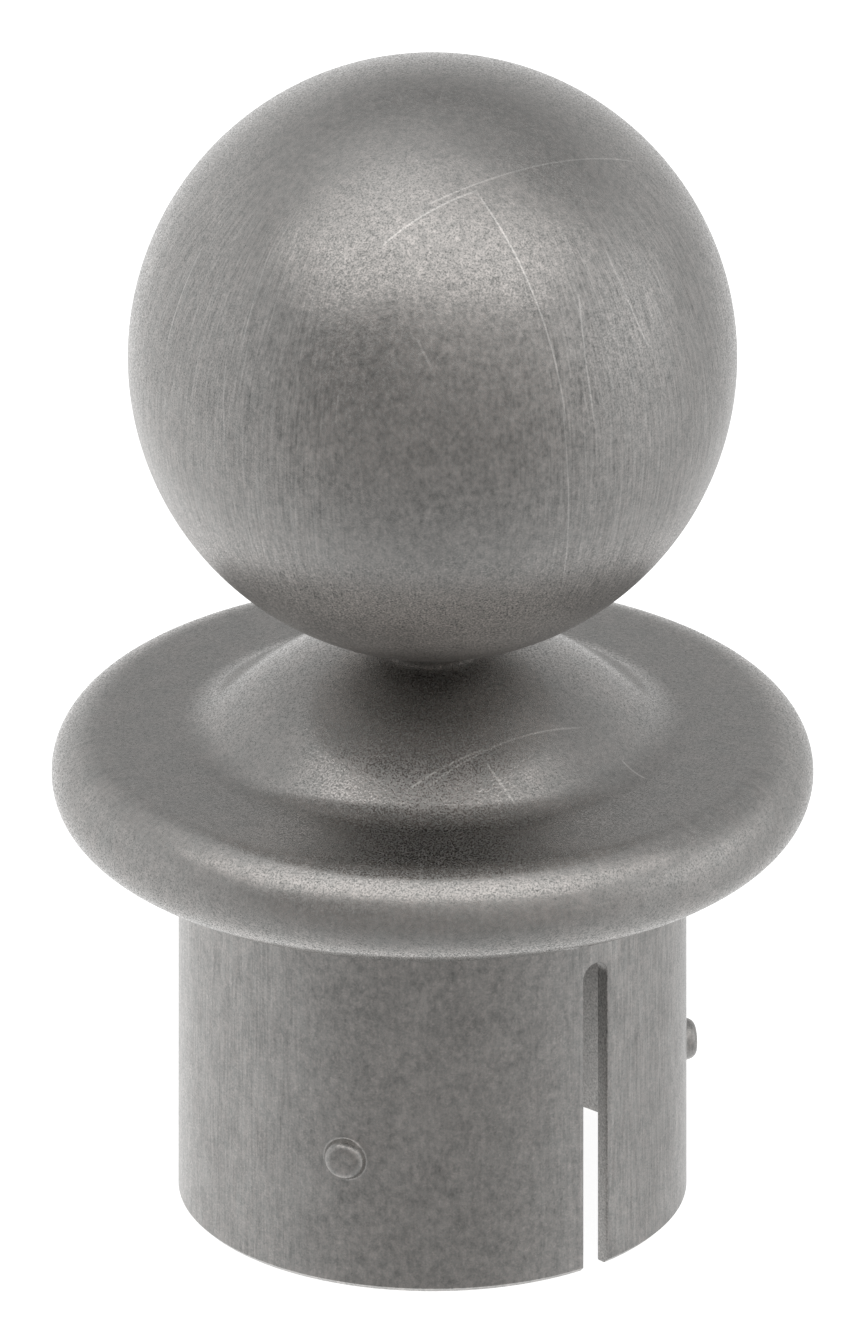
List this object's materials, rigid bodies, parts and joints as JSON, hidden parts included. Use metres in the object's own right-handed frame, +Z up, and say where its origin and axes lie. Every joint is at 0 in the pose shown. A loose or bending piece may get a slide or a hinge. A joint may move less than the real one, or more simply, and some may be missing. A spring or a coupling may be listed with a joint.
{
  "type": "pipe ball finial",
  "caption": "Satin steel ball finial on a domed, round-rimmed collar, with a hollow split spigot and small raised bosses that spring into the open end of a pipe.",
  "frame": {"origin": "middle of the spigot's foot ring, on which the finial stands", "axes": "+Z up the turning axis towards the ball; -Y is the side that faces the camera in the picture; the slot is 40 degrees from -Y towards +X"},
  "size_m": [0.0762, 0.0762, 0.1219],
  "materials": {
    "satin_steel": "satin brushed steel, warm grey, lightly mottled, with fine scratches"
  },
  "bodies": {
    "root": {"ball_finial": "satin_steel"}
  },
  "joints": []
}
